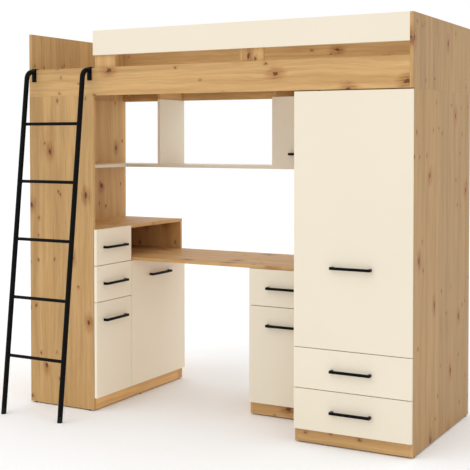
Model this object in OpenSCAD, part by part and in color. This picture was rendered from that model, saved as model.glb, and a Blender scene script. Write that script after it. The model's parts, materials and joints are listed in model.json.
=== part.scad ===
// Loft bed with desk: a raised bed box carried by a drawer tower, a desk with a
// pedestal and a wardrobe, with an open shelf under the bed and a hook-on ladder.
// All lengths are millimetres. The design is drawn from its left front floor
// corner (x along the bed, y towards the wall, z up) and then moved so that the
// origin is at the middle of the footprint, on the floor.

/* [Overall] */
// Length of the bed box and of everything below it
bed_l = 2050; // [1900:10:2300]
// Depth of the bed box
bed_d = 832; // [760:1:1000]
// Height of the line where the bed box rests on the cabinets
under_h = 1570; // [1400:10:1800]
// Thickness of all main boards
board_t = 16; // [14:1:22]
// Thickness of the thin back boards
back_t = 3; // [2.5:0.5:6]

/* [Bed box] */
// Height of the front rail
rail_h = 137; // [110:1:180]
// Open gap between front rail and guard panel
guard_gap = 60; // [40:1:75]
// Height of the guard panel
guard_h = 121; // [80:1:200]
// Width of each post that joins the guard panel to the rail
post_w = 120; // [80:5:160]
// Distance from the post's top end to the top of the guard
post_drop = 20; // [5:1:40]
// Height of the ledges that carry the slats above the bottom of the rail
ledge_rise = 40; // [30:1:60]
// Side of the square ledges
ledge_t = 20; // [16:1:30]
// Number of slats
slat_n = 14; // [10:1:20]
// Width of a slat
slat_w = 70; // [50:1:90]
// Thickness of a slat
slat_t = 12; // [10:1:18]

/* [Fronts] */
// Gap between neighbouring fronts
front_gap = 3; // [2:0.5:4]
// Air between a closed front and the cabinet behind it
front_air = 2; // [1:0.5:3]
// How far the lowest fronts hang below the top edge of the base boards
front_low = 4; // [0:1:10]
// Gap between the bed box and the top of the wardrobe's door
door_top_gap = 5; // [2:1:10]
// Height of one drawer with its gap
drawer_h = 182; // [150:1:220]
// Height of the base boards' top edge above the floor
base_h = 68; // [50:1:100]
// Height of the glides below the boards
glide_h = 6; // [4:1:12]
// Diameter of a glide
glide_d = 14; // [10:1:14]

/* [Tower] */
// Depth of the tower's boards along the bed, without its fronts
tower_w = 400; // [360:5:450]
// Place of the line between the drawer column and the wide door
split_y = 304; // [260:1:360]
// Depth of the small shelf high on the tower's end wall
corner_shelf_w = 180; // [120:5:300]
// Height of the loose shelf behind the wide door
loose_shelf_z = 396; // [250:1:550]

/* [Desk and pedestal] */
// Height of the desk's top surface
desk_h = 741; // [680:1:800]
// Width of the pedestal under the desk
pedestal_w = 392; // [340:1:450]

/* [Shelf] */
// Height of the shelf's underside
shelf_z = 1202; // [1050:1:1300]
// Depth of the shelf
shelf_d = 250; // [200:5:320]
// Width of the closed cell at the wardrobe
cell_w = 395; // [340:1:450]

/* [Wardrobe] */
// Width of the wardrobe
wardrobe_w = 552; // [480:1:700]
// Distance from the wardrobe's ceiling to the middle of the rod
rod_drop = 60; // [50:1:120]
// Diameter of the rod
rod_d = 25; // [20:1:32]

/* [Ladder] */
// Distance from the bed's end to the middle of the left stile
ladder_left = 33; // [30:1:60]
// Distance from the guard's near edge back to the middle of the right stile
ladder_right = 19; // [15:1:60]
// Lean of the stiles from upright, in degrees
ladder_lean = 6.5; // [4:0.5:9]
// Diameter of the stiles
stile_d = 25; // [22:1:30]
// Wall of the steel tubes
tube_wall = 1.5; // [1:0.1:2]
// Radius of the bend at the top of a stile, at its middle line
bend_r = 40; // [35:1:60]
// Straight stub between the bend and the hook plate
stub_l = 15; // [8:1:30]
// Number of rungs
rung_n = 5; // [4:1:5]
// Distance from the top of the rail down to the highest rung
rung_drop = 277; // [250:1:320]
// Diameter of a rung
rung_d = 16; // [14:1:20]
// Width of a hook plate
hook_w = 26; // [22:1:32]
// Thickness of a hook plate
hook_t = 4; // [3:0.5:5]
// Length of the hook plate on the front of the rail
hook_front = 62; // [40:1:80]
// Length of the hook's lip behind the rail
hook_lip = 27; // [20:1:50]
// Length of the rubber foot of a stile
foot_l = 28; // [20:1:40]

/* [Handles] */
// Overall length of a bar handle
handle_l = 190; // [140:1:220]
// Height of the bar
handle_t = 12; // [8:1:14]
// Thickness of the bar, outwards
handle_bar = 10; // [6:1:12]
// How far the bar's outer face stands out from the front
handle_out = 26; // [20:1:35]
// Distance from the top edge of a drawer or low door to its handle
handle_drop = 92; // [70:1:110]
// Height of the handle on the wardrobe's door
door_handle_z = 793; // [600:1:1100]
// Distance from the flap's lower edge to its handle
flap_handle_z = 77; // [50:1:120]

/* [Drawers] */
// Thickness of a drawer's side boards
box_t = 12; // [10:1:16]
// Height of a drawer's side boards
box_h = 110; // [80:1:130]
// Height of a drawer's side boards above the lower edge of its front
box_rise = 20; // [18:1:30]
// Thickness of a drawer's bottom
box_floor_t = 3; // [3:1:6]
// Space between a tower drawer and the board behind it
tower_box_air = 46; // [20:1:120]
// Space between the pedestal's drawer and the back behind it
pedestal_box_air = 45; // [20:1:120]
// Space between a wardrobe drawer and the back behind it
wardrobe_box_air = 313; // [20:1:400]
// How much shorter a runner is than its drawer
runner_short = 20; // [10:5:60]
// Room for a runner on each side of a drawer
runner_room = 13; // [12.5:0.1:14]
// Thickness of a runner
runner_t = 12; // [10:0.5:12.2]
// Height of a runner
runner_h = 24; // [17:1:35]

/* [Hinges] */
// Diameter of a hinge cup
cup_d = 35; // [26:1:40]
// Depth of a hinge cup in the door
cup_h = 11; // [9:0.5:12]
// Distance from the door's edge to the middle of the cup
cup_inset = 25; // [21:0.5:28]
// Distance from a door's end to the middle of its outer hinge
hinge_end = 90; // [70:5:120]
// Length of the hinge arm on the cabinet
arm_l = 60; // [45:1:75]
// Width of the hinge arm
arm_w = 14; // [10:1:18]
// Height of the hinge arm above the board it is screwed to
arm_h = 12; // [8:1:14]
// Diameter of a cam lock
cam_d = 15; // [12:1:15]
// Height of a cam lock
cam_h = 12.5; // [10:0.5:13]
// Distance from a board's end to the middle of a cam lock
cam_inset = 34; // [24:1:34]

/* [Hidden] */
$fn = 48;
// How far a cutting shape runs past the face that it cuts
cut = 1;
// Hair-thin joint between boards or tubes that share one module
seam = 0.2;
// Clearance of a hinge cup or a cam lock across its hole
hole_air = 0.2;
// Clearance at the ends of a slat and of the loose shelf
end_air = 2;
// Clearance between the ladder's hook and the rail
hook_air = 0.3;
// Depth to which a rung is welded into a stile
weld = 1;
half_gap = front_gap / 2;
// Distance from a front's outer face to the cabinet behind it
front_depth = board_t + front_air;
rail_top = under_h + rail_h;
guard_z = rail_top + guard_gap;
total_h = guard_z + guard_h;
ledge_z = under_h + ledge_rise;
slat_z = ledge_z + ledge_t;
slat_top = slat_z + slat_t;
// Inner faces of the bed box
in_x0 = board_t;
in_x1 = bed_l - board_t;
in_y1 = bed_d - board_t;
// Desk and tower
desk_z = desk_h - board_t;
tower_h = desk_z + drawer_h;
drawer_line = desk_z - drawer_h;
floor_top = base_h + board_t;
tower_front = tower_w + front_depth;
partition_y = split_y - board_t / 2;
desk_y = partition_y + board_t;
// Wardrobe and pedestal
wardrobe_x = bed_l - wardrobe_w;
wardrobe_line = base_h + 2 * drawer_h;
pedestal_x = wardrobe_x - pedestal_w;
pedestal_y = desk_y + front_depth;
pedestal_end = in_y1 - back_t;
// Shelf
shelf_y = bed_d - shelf_d;
shelf_top = shelf_z + board_t;
cell_x = wardrobe_x - cell_w;
flap_y = shelf_y - front_depth;
flap_w = cell_w - front_gap;
flap_h = under_h - half_gap - shelf_z;
// Guard and its posts
guard_x = tower_w;
guard_l = in_x1 - guard_x;
post_z = slat_top + end_air;
post_h = total_h - post_drop - post_z;
post_xs = [guard_x, guard_x + guard_l / 2];
// Ladder, seen from its side: the bend's centre, its start and the foot
stile_xs = [ladder_left, tower_w - ladder_right];
rung_pitch = (rail_top - rung_drop) / rung_n;
stile_z = rail_top - stile_d / 2;
bend_y = -(hook_air + hook_t + stub_l);
bend_z = stile_z - bend_r;
lean_y = bend_y - bend_r * cos(ladder_lean);
lean_z = bend_z + bend_r * sin(ladder_lean);
foot_y = lean_y - lean_z * tan(ladder_lean);
stile_l = lean_z / cos(ladder_lean);
// Middle of the footprint
low_y = foot_y - stile_d / 2 / cos(ladder_lean);
mid_y = (bed_d + low_y) / 2;
// Cam locks: depth of the cross slot, and their distances from the boards' edges
cam_slot = 1.5;
cam_edge = 30;
cam_row = 60;
rail_cam_xs = [in_x0 + cam_inset, in_x1 - cam_inset];
rail_cam_zs = [rail_top - cam_edge];
guard_cam_zs = [guard_z + cam_edge, total_h - cam_edge];
back_cam_zs = [under_h + cam_edge, total_h - cam_row];

oak = [0.80, 0.64, 0.43];
cream = [0.95, 0.91, 0.83];
pine = [0.88, 0.76, 0.56];
black = [0.06, 0.06, 0.06];
steel = [0.70, 0.71, 0.73];
white_board = [0.93, 0.92, 0.89];

// ---- Shared shapes ----

// Moves the design from its corner to the middle of its footprint
module place() {
    translate([-bed_l / 2, -mid_y, 0]) children();
}

// A board between two opposite corners
module board(low, high) {
    translate(low) cube(high - low);
}

// A tube along z with its wall
module tube(d, l) {
    difference() {
        cylinder(d = d, h = l);
        translate([0, 0, -cut]) cylinder(d = d - 2 * tube_wall, h = l + 2 * cut);
    }
}

// Places of the hinges along a door of height h: a tall door has a third one
tall_door = 1000;
function hinge_zs(h) =
    h > tall_door ? [hinge_end, h / 2, h - hinge_end] : [hinge_end, h - hinge_end];

// A door seen from outside with its hinges at x = 0, with blind holes for the cups
module door_panel(w, h) {
    difference() {
        cube([w, board_t, h]);
        for (z = hinge_zs(h))
            translate([cup_inset, board_t, z]) rotate([90, 0, 0]) cylinder(d = cup_d, h = cup_h);
    }
}

// The cups in a door's back, each with a flange screwed to the door
module door_cups(h) {
    flange_t = 1.2;
    flange_w = 14;
    flange_h = 52;
    for (z = hinge_zs(h)) {
        translate([cup_inset, board_t + flange_t, z]) rotate([90, 0, 0])
            cylinder(d = cup_d - hole_air, h = cup_h + flange_t);
        translate([cup_inset - flange_w / 2, board_t, z - flange_h / 2])
            cube([flange_w, flange_t, flange_h]);
    }
}

// The arms on the cabinet's side board behind a door of height h
module door_arms(h) {
    arm_y = front_depth + 4;
    plate_y = front_depth + 30;
    plate = [2, 20, 17];
    x = board_t - half_gap;
    for (z = hinge_zs(h)) {
        translate([x, arm_y, z - arm_w / 2]) cube([arm_h, arm_l, arm_w]);
        translate([x, plate_y, z - arm_w / 2 - seam - plate[2]]) cube(plate);
        translate([x, plate_y, z + arm_w / 2 + seam]) cube(plate);
    }
}

// A bar handle: bar and two legs, centred on x, standing out towards -y
module bar_handle() {
    leg_y = handle_out - handle_bar;
    leg_x = handle_l / 2 - handle_t;
    translate([-handle_l / 2, -handle_out, -handle_t / 2]) cube([handle_l, handle_bar, handle_t]);
    for (x = [-handle_l / 2, leg_x])
        translate([x, -leg_y + seam, -handle_t / 2]) cube([handle_t, leg_y - seam, handle_t]);
}

// A handle on a front that is w wide and h high
module front_handle(w, h) {
    color(black) translate([w / 2, 0, h + half_gap - handle_drop]) bar_handle();
}

// A drawer's box behind its front: two sides, inner front, back and bottom
module drawer_box(x, w, l) {
    y0 = board_t;
    y1 = board_t + l;
    z0 = box_rise;
    z1 = box_rise + box_h;
    inner_x0 = x + box_t + seam;
    inner_x1 = x + w - box_t - seam;
    floor_rise = 8;
    floor_z = z0 + floor_rise;
    color(white_board) {
        board([x, y0, z0], [x + box_t, y1, z1]);
        board([x + w - box_t, y0, z0], [x + w, y1, z1]);
        board([inner_x0, y0, z0], [inner_x1, y0 + box_t, z1]);
        board([inner_x0, y1 - box_t, z0], [inner_x1, y1, z1]);
        board([inner_x0, y0 + box_t + seam, floor_z],
              [inner_x1, y1 - box_t - seam, floor_z + box_floor_t]);
    }
}

// The runners on the cabinet's boards on both sides of a drawer box
module runners(x, w, l) {
    rise = box_rise + 12;
    start = front_depth + end_air;
    for (rx = [x - runner_room, x + w + runner_room - runner_t])
        translate([rx, start, rise]) cube([runner_t, l - runner_short, runner_h]);
}

// A cam lock let into a board, its face at z = 0 and its body below
module cam() {
    slot_l = cam_d * 2 / 3;
    slot_w = 1.6;
    difference() {
        translate([0, 0, -cam_h]) cylinder(d = cam_d - hole_air, h = cam_h);
        translate([-slot_l / 2, -slot_w / 2, -cam_slot]) cube([slot_l, slot_w, 2 * cam_slot]);
        translate([-slot_w / 2, -slot_l / 2, -cam_slot]) cube([slot_w, slot_l, 2 * cam_slot]);
    }
}

// The hole that takes a cam lock
module cam_hole() {
    translate([0, 0, -cam_h]) cylinder(d = cam_d, h = cam_h + cut);
}

// ---- Places of the fronts, each seen from outside with its hinge or left edge at x = 0 ----

module at_tower(y, z) {
    translate([tower_front, y, z]) rotate([0, 0, 90]) children();
}

module at_tower_mirrored(y, z) {
    at_tower(y, z) mirror([1, 0, 0]) children();
}

module at_pedestal(z) {
    translate([pedestal_x + half_gap, desk_y, z]) children();
}

module at_wardrobe(z) {
    translate([wardrobe_x + half_gap, 0, z]) children();
}

module at_wardrobe_mirrored(z) {
    translate([bed_l - half_gap, 0, z]) mirror([1, 0, 0]) children();
}

module at_flap() {
    translate([cell_x + half_gap, flap_y, under_h - half_gap]) rotate([0, 90, 0]) children();
}

// Sizes of the fronts
drawer_front_h = drawer_h - front_gap;
column_w = split_y - front_gap;
wide_w = bed_d - split_y - front_gap;
low_z = base_h + half_gap - front_low;
pedestal_front_w = pedestal_w - front_gap;
wardrobe_front_w = wardrobe_w - front_gap;
low_door_h = drawer_line - half_gap - low_z;
wide_door_h = desk_z - half_gap - low_z;
tall_door_h = under_h - door_top_gap - wardrobe_line - half_gap;
// Places and widths of the drawer boxes behind their fronts
box_x = board_t - half_gap + runner_room;
tower_box_l = tower_front - 2 * board_t - tower_box_air;
pedestal_box_l = pedestal_end - desk_y - board_t - pedestal_box_air;
wardrobe_box_l = bed_d - back_t - board_t - wardrobe_box_air;
tower_box_w = partition_y - board_t - 2 * runner_room;
pedestal_box_w = pedestal_w - 2 * board_t - 2 * runner_room;
wardrobe_box_w = wardrobe_w - 2 * board_t - 2 * runner_room;

// ---- Bed box ----

module bed_end_left() {
    color(oak) place() difference() {
        board([0, 0, under_h], [board_t, bed_d, total_h]);
        board([-cut, -cut, under_h - cut], [board_t + cut, board_t, rail_top]);
    }
}

module bed_end_right() {
    color(oak) place() board([in_x1, 0, under_h], [bed_l, bed_d, total_h]);
}

// Cam locks in the inner face of the front rail, guard and back panel
module rail_cams(end_xs, zs, y) {
    for (x = end_xs)
        for (z = zs)
            translate([x, y, z]) rotate([-90, 0, 0]) children();
}

module front_rail() {
    color(oak) place() difference() {
        board([0, 0, under_h], [in_x1, board_t, rail_top]);
        rail_cams(rail_cam_xs, rail_cam_zs, board_t) cam_hole();
    }
}

module back_panel() {
    color(oak) place() difference() {
        board([in_x0, in_y1, under_h], [in_x1, bed_d, total_h]);
        rail_cams(rail_cam_xs, back_cam_zs, in_y1)
            rotate([180, 0, 0]) cam_hole();
    }
}

module guard_panel() {
    color(cream) place() difference() {
        board([guard_x, 0, guard_z], [in_x1, board_t, total_h]);
        rail_cams([in_x1 - cam_inset], guard_cam_zs, board_t) cam_hole();
    }
}

module guard_posts() {
    color(oak) place()
        for (x = post_xs)
            board([x, board_t, post_z], [x + post_w, 2 * board_t, post_z + post_h]);
}

module slat_ledges() {
    color(pine) place()
        for (y = [board_t, in_y1 - ledge_t])
            board([in_x0, y, ledge_z], [in_x1, y + ledge_t, slat_z]);
}

module slats() {
    pitch = (in_x1 - in_x0) / slat_n;
    color(pine) place()
        for (i = [0 : slat_n - 1])
            translate([in_x0 + (i + 0.5) * pitch - slat_w / 2, board_t + end_air, slat_z])
                cube([slat_w, in_y1 - board_t - 2 * end_air, slat_t]);
}

// ---- Shelf under the bed ----

// The long shelf, and a short one that carries on along the tower's end wall
module shelf_board() {
    color(cream) place() {
        difference() {
            board([in_x0, shelf_y, shelf_z], [wardrobe_x, bed_d, shelf_top]);
            shelf_cams() cam_hole();
        }
        board([board_t, board_t, shelf_z], [board_t + corner_shelf_w, shelf_y - seam, shelf_top]);
    }
}

// Cam locks under the two ends of the shelf
module shelf_cams() {
    for (x = [in_x0 + cam_inset, wardrobe_x - cam_inset])
        for (y = [shelf_y + cam_row, bed_d - cam_row])
            translate([x, y, shelf_z]) rotate([180, 0, 0]) children();
}

module shelf_dividers() {
    color(cream) place() {
        for (x = [tower_w, cell_x])
            board([x, shelf_y, shelf_top], [x + board_t, bed_d, under_h]);
        board([cell_x + board_t + seam, shelf_y, under_h - board_t], [wardrobe_x, bed_d, under_h]);
    }
}

// Short boards inside the bed box that the shelf's dividers hang from
module shelf_hangers() {
    color(oak) place()
        for (x = [tower_w, cell_x])
            board([x, shelf_y, under_h], [x + board_t, in_y1, ledge_z]);
}

// ---- Tower ----

module tower_front_side() {
    color(oak) place() board([0, 0, glide_h], [tower_w, board_t, under_h]);
}

module tower_end_wall() {
    color(oak) place() board([0, board_t, glide_h], [board_t, bed_d, under_h]);
}

module tower_back_side() {
    color(oak) place() board([board_t, in_y1, glide_h], [tower_w, bed_d, tower_h - board_t]);
}

module tower_top() {
    color(oak) place() difference() {
        board([board_t, board_t, tower_h - board_t], [tower_w, bed_d, tower_h]);
        tower_top_cams() cam_hole();
    }
}

module tower_top_cams() {
    for (x = [board_t + cam_row, tower_w - cam_row])
        for (y = [board_t + cam_inset, in_y1 - cam_inset])
            translate([x, y, tower_h - board_t]) rotate([180, 0, 0]) children();
}

// Floor, partition, drawer shelf, loose shelf and base board of the tower
module tower_inner_boards() {
    loose_setback = 20;
    color(oak) place() {
        board([board_t, board_t, base_h], [tower_w, in_y1, floor_top]);
        board([board_t, partition_y, floor_top + seam], [tower_w, desk_y, tower_h - board_t]);
        board([board_t, board_t, drawer_line - board_t / 2],
              [tower_w, partition_y - seam, drawer_line + board_t / 2]);
        board([board_t + end_air, desk_y + end_air / 2, loose_shelf_z],
              [tower_w - loose_setback, in_y1 - end_air / 2, loose_shelf_z + board_t]);
        board([tower_w - board_t, board_t, glide_h], [tower_w, in_y1, base_h - seam]);
    }
}

// ---- Desk and pedestal ----

// Cam locks under the two ends of the desk
module desk_cams() {
    for (x = [board_t + cam_inset, wardrobe_x - cam_inset])
        for (y = [desk_y + cam_row, in_y1 - cam_row])
            translate([x, y, desk_z]) rotate([180, 0, 0]) children();
}

module desk_top() {
    color(oak) place() difference() {
        board([board_t, desk_y, desk_z], [wardrobe_x, in_y1, desk_h]);
        desk_cams() cam_hole();
    }
}

// Two sides, floor, drawer shelf and base board of the pedestal
module pedestal_carcass() {
    in0 = pedestal_x + board_t + seam;
    in1 = wardrobe_x - board_t - seam;
    color(oak) place() {
        for (x = [pedestal_x, wardrobe_x - board_t])
            board([x, pedestal_y, glide_h], [x + board_t, pedestal_end, desk_z]);
        board([in0, pedestal_y, base_h], [in1, pedestal_end, floor_top]);
        board([in0, pedestal_y, drawer_line - board_t / 2], [in1, pedestal_end, drawer_line + board_t / 2]);
        board([in0, pedestal_y, glide_h], [in1, pedestal_y + board_t, base_h - seam]);
    }
}

// ---- Wardrobe ----

module wardrobe_sides() {
    color(oak) place()
        for (x = [wardrobe_x, in_x1])
            board([x, front_depth, glide_h], [x + board_t, bed_d - back_t, under_h]);
}

// Ceiling, shelf above the drawers, floor and base board of the wardrobe
module wardrobe_crossboards() {
    x0 = wardrobe_x + board_t;
    y1 = bed_d - back_t;
    color(oak) place() {
        board([x0, front_depth, under_h - board_t], [in_x1, y1, under_h]);
        board([x0, front_depth, wardrobe_line - board_t / 2], [in_x1, y1, wardrobe_line + board_t / 2]);
        board([x0, front_depth, base_h], [in_x1, y1, floor_top]);
        board([x0, front_depth, glide_h], [in_x1, front_depth + board_t, base_h - seam]);
    }
}

// Thin backs of the wardrobe, the pedestal and the closed shelf cell
module back_boards() {
    color(white_board) place() {
        board([wardrobe_x, bed_d - back_t, base_h], [bed_l, bed_d, under_h]);
        board([pedestal_x, pedestal_end, glide_h], [wardrobe_x - seam, in_y1, desk_z]);
        board([cell_x + board_t, bed_d - back_t, shelf_top], [wardrobe_x - seam, bed_d, under_h - board_t]);
    }
}

// Rod with a flange at each end
module clothes_rod() {
    flange_t = 6;
    flange_d = rod_d * 1.8;
    y = (front_depth + bed_d) / 2;
    z = under_h - board_t - rod_drop;
    color(steel) place() translate([wardrobe_x + board_t, y, z]) rotate([0, 90, 0]) {
        translate([0, 0, flange_t]) tube(rod_d, wardrobe_w - 2 * board_t - 2 * flange_t);
        cylinder(d = flange_d, h = flange_t);
        translate([0, 0, wardrobe_w - 2 * board_t - flange_t]) cylinder(d = flange_d, h = flange_t);
    }
}

// ---- Fittings fixed to the cabinets ----

// Nailed glides under the upright boards
module glides() {
    e = board_t / 2;
    inset = 30;
    tower_spots = [
        [inset, e], [tower_w - inset, e], [inset, bed_d - e], [tower_w - inset, bed_d - e],
        [e, bed_d / 2], [tower_w - e, bed_d / 2]
    ];
    pedestal_spots = [
        for (x = [pedestal_x + e, wardrobe_x - e])
            for (y = [pedestal_y + inset, pedestal_end - inset]) [x, y]
    ];
    wardrobe_spots = [
        for (x = [wardrobe_x + e, bed_l - e])
            for (y = [front_depth + inset, bed_d - back_t - inset]) [x, y]
    ];
    color(black) place()
        for (p = concat(tower_spots, pedestal_spots, wardrobe_spots))
            translate([p[0], p[1], 0]) cylinder(d = glide_d, h = glide_h);
}

module drawer_runners() {
    color(steel) place() {
        for (z = [desk_z, drawer_line])
            at_tower(half_gap, z + half_gap) runners(box_x, tower_box_w, tower_box_l);
        at_pedestal(drawer_line + half_gap) runners(box_x, pedestal_box_w, pedestal_box_l);
        for (z = [base_h, base_h + drawer_h])
            at_wardrobe(z + half_gap) runners(box_x, wardrobe_box_w, wardrobe_box_l);
    }
}

module hinge_arms() {
    color(steel) place() {
        at_tower(half_gap, low_z) door_arms(low_door_h);
        at_tower_mirrored(bed_d - half_gap, low_z) door_arms(wide_door_h);
        at_pedestal(low_z) door_arms(low_door_h);
        at_wardrobe_mirrored(wardrobe_line + half_gap) door_arms(tall_door_h);
        at_flap() door_arms(flap_w);
    }
}

module cam_locks() {
    color(steel) place() {
        rail_cams(rail_cam_xs, rail_cam_zs, board_t) cam();
        rail_cams([in_x1 - cam_inset], guard_cam_zs, board_t) cam();
        rail_cams(rail_cam_xs, back_cam_zs, in_y1)
            rotate([180, 0, 0]) cam();
        shelf_cams() cam();
        tower_top_cams() cam();
        desk_cams() cam();
    }
}

// ---- Ladder ----

// Leans its children, drawn along z, so that they run up a stile from the floor
module lean() {
    translate([0, foot_y, 0]) rotate([-ladder_lean, 0, 0]) children();
}

// Each stile is a straight tube with a bent length of the same tube set on its top
module ladder_stiles() {
    color(black) place()
        for (x = stile_xs)
            translate([x, 0, 0]) {
                lean() translate([0, 0, foot_l]) tube(stile_d, stile_l - foot_l - seam);
                translate([0, bend_y, bend_z]) rotate([90, 0, 90])
                    rotate([0, 0, 90]) rotate_extrude(angle = 90 - ladder_lean)
                        translate([bend_r, 0]) difference() {
                            circle(d = stile_d);
                            circle(d = stile_d - 2 * tube_wall);
                        }
                translate([0, bend_y, stile_z]) rotate([-90, 0, 0]) tube(stile_d, stub_l);
            }
}

module ladder_rungs() {
    x0 = stile_xs[0] + stile_d / 2 - weld;
    l = stile_xs[1] - stile_d / 2 + weld - x0;
    color(black) place()
        for (i = [1 : rung_n])
            translate([x0, foot_y + i * rung_pitch * tan(ladder_lean), i * rung_pitch])
                rotate([0, 90, 0]) tube(rung_d, l);
}

// Flat plates bent over the rail: a long leg in front and a lip behind
module ladder_hooks() {
    y0 = -hook_air - hook_t;
    y1 = board_t + hook_air;
    top = rail_top + hook_air;
    color(black) place()
        for (x = stile_xs) {
            board([x - hook_w / 2, y0, rail_top - hook_front], [x + hook_w / 2, y0 + hook_t, top]);
            board([x - hook_w / 2, y0, top], [x + hook_w / 2, y1 + hook_t, top + hook_t]);
            board([x - hook_w / 2, y1, rail_top - hook_lip], [x + hook_w / 2, y1 + hook_t, top]);
        }
}

// Rubber feet cut level with the floor
module ladder_feet() {
    color(black) place()
        for (x = stile_xs)
            translate([x, 0, 0]) intersection() {
                lean() translate([0, 0, -stile_d]) cylinder(d = stile_d, h = stile_d + foot_l);
                translate([-stile_d, foot_y - 3 * stile_d, 0]) cube([2 * stile_d, 6 * stile_d, 2 * foot_l]);
            }
}

// ---- Drawers ----

module tower_drawer_upper_front() {
    color(cream) place() at_tower(half_gap, desk_z + half_gap)
        cube([column_w, board_t, drawer_front_h]);
}

module tower_drawer_upper_box() {
    place() at_tower(half_gap, desk_z + half_gap) drawer_box(box_x, tower_box_w, tower_box_l);
}

module tower_drawer_upper_handle() {
    place() at_tower(half_gap, desk_z + half_gap) front_handle(column_w, drawer_front_h);
}

module tower_drawer_lower_front() {
    color(cream) place() at_tower(half_gap, drawer_line + half_gap)
        cube([column_w, board_t, drawer_front_h]);
}

module tower_drawer_lower_box() {
    place() at_tower(half_gap, drawer_line + half_gap) drawer_box(box_x, tower_box_w, tower_box_l);
}

module tower_drawer_lower_handle() {
    place() at_tower(half_gap, drawer_line + half_gap) front_handle(column_w, drawer_front_h);
}

module pedestal_drawer_front() {
    color(cream) place() at_pedestal(drawer_line + half_gap)
        cube([pedestal_front_w, board_t, drawer_front_h]);
}

module pedestal_drawer_box() {
    place() at_pedestal(drawer_line + half_gap) drawer_box(box_x, pedestal_box_w, pedestal_box_l);
}

module pedestal_drawer_handle() {
    place() at_pedestal(drawer_line + half_gap) front_handle(pedestal_front_w, drawer_front_h);
}

module wardrobe_drawer_upper_front() {
    color(cream) place() at_wardrobe(base_h + drawer_h + half_gap)
        cube([wardrobe_front_w, board_t, drawer_front_h]);
}

module wardrobe_drawer_upper_box() {
    place() at_wardrobe(base_h + drawer_h + half_gap) drawer_box(box_x, wardrobe_box_w, wardrobe_box_l);
}

module wardrobe_drawer_upper_handle() {
    place() at_wardrobe(base_h + drawer_h + half_gap) front_handle(wardrobe_front_w, drawer_front_h);
}

module wardrobe_drawer_lower_front() {
    color(cream) place() at_wardrobe(low_z)
        cube([wardrobe_front_w, board_t, drawer_front_h + front_low]);
}

module wardrobe_drawer_lower_box() {
    place() at_wardrobe(base_h + half_gap) drawer_box(box_x, wardrobe_box_w, wardrobe_box_l);
}

module wardrobe_drawer_lower_handle() {
    place() at_wardrobe(base_h + half_gap) front_handle(wardrobe_front_w, drawer_front_h);
}

// ---- Doors ----

module tower_narrow_door() {
    color(cream) place() at_tower(half_gap, low_z) door_panel(column_w, low_door_h);
}

module tower_narrow_door_cups() {
    color(steel) place() at_tower(half_gap, low_z) door_cups(low_door_h);
}

module tower_narrow_door_handle() {
    place() at_tower(half_gap, low_z) front_handle(column_w, low_door_h);
}

module tower_wide_door() {
    color(cream) place() at_tower_mirrored(bed_d - half_gap, low_z) door_panel(wide_w, wide_door_h);
}

module tower_wide_door_cups() {
    color(steel) place() at_tower_mirrored(bed_d - half_gap, low_z) door_cups(wide_door_h);
}

module tower_wide_door_handle() {
    place() at_tower_mirrored(bed_d - half_gap, low_z) front_handle(wide_w, wide_door_h);
}

module pedestal_door() {
    color(cream) place() at_pedestal(low_z) door_panel(pedestal_front_w, low_door_h);
}

module pedestal_door_cups() {
    color(steel) place() at_pedestal(low_z) door_cups(low_door_h);
}

module pedestal_door_handle() {
    place() at_pedestal(low_z) front_handle(pedestal_front_w, low_door_h);
}

module wardrobe_door() {
    color(cream) place() at_wardrobe_mirrored(wardrobe_line + half_gap)
        door_panel(wardrobe_front_w, tall_door_h);
}

module wardrobe_door_cups() {
    color(steel) place() at_wardrobe_mirrored(wardrobe_line + half_gap) door_cups(tall_door_h);
}

module wardrobe_door_handle() {
    color(black) place() translate([bed_l - wardrobe_w / 2, 0, door_handle_z]) bar_handle();
}

// The flap hangs from its upper edge, so its hinge edge is the top one
module shelf_flap() {
    color(cream) place() at_flap() door_panel(flap_h, flap_w);
}

module shelf_flap_cups() {
    color(steel) place() at_flap() door_cups(flap_w);
}

module shelf_flap_handle() {
    color(black) place() translate([cell_x + cell_w / 2, flap_y, shelf_z + flap_handle_z]) bar_handle();
}

bed_end_left();
bed_end_right();
front_rail();
back_panel();
guard_panel();
guard_posts();
slat_ledges();
slats();
shelf_board();
shelf_dividers();
shelf_hangers();
tower_front_side();
tower_end_wall();
tower_back_side();
tower_top();
tower_inner_boards();
desk_top();
pedestal_carcass();
wardrobe_sides();
wardrobe_crossboards();
back_boards();
clothes_rod();
glides();
drawer_runners();
hinge_arms();
cam_locks();
ladder_stiles();
ladder_rungs();
ladder_hooks();
ladder_feet();
tower_drawer_upper_front();
tower_drawer_upper_box();
tower_drawer_upper_handle();
tower_drawer_lower_front();
tower_drawer_lower_box();
tower_drawer_lower_handle();
pedestal_drawer_front();
pedestal_drawer_box();
pedestal_drawer_handle();
wardrobe_drawer_upper_front();
wardrobe_drawer_upper_box();
wardrobe_drawer_upper_handle();
wardrobe_drawer_lower_front();
wardrobe_drawer_lower_box();
wardrobe_drawer_lower_handle();
tower_narrow_door();
tower_narrow_door_cups();
tower_narrow_door_handle();
tower_wide_door();
tower_wide_door_cups();
tower_wide_door_handle();
pedestal_door();
pedestal_door_cups();
pedestal_door_handle();
wardrobe_door();
wardrobe_door_cups();
wardrobe_door_handle();
shelf_flap();
shelf_flap_cups();
shelf_flap_handle();
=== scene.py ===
# %% [markdown]
# # A loft bed with a desk, tower, wardrobe and ladder
# The real thing is flat-pack furniture: boards of 16 mm chipboard with an oak or a cream
# decor, black bar handles and a ladder of bent steel tube. The imported model already has
# every board at its true place and size, so nothing is measured again here. This file gives
# each board its soft edges and its finish, and models the bent and round metal pieces again
# with smooth surfaces.

import json
import math
import random

import bmesh
import bpy
from mathutils import Matrix, Vector


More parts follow.
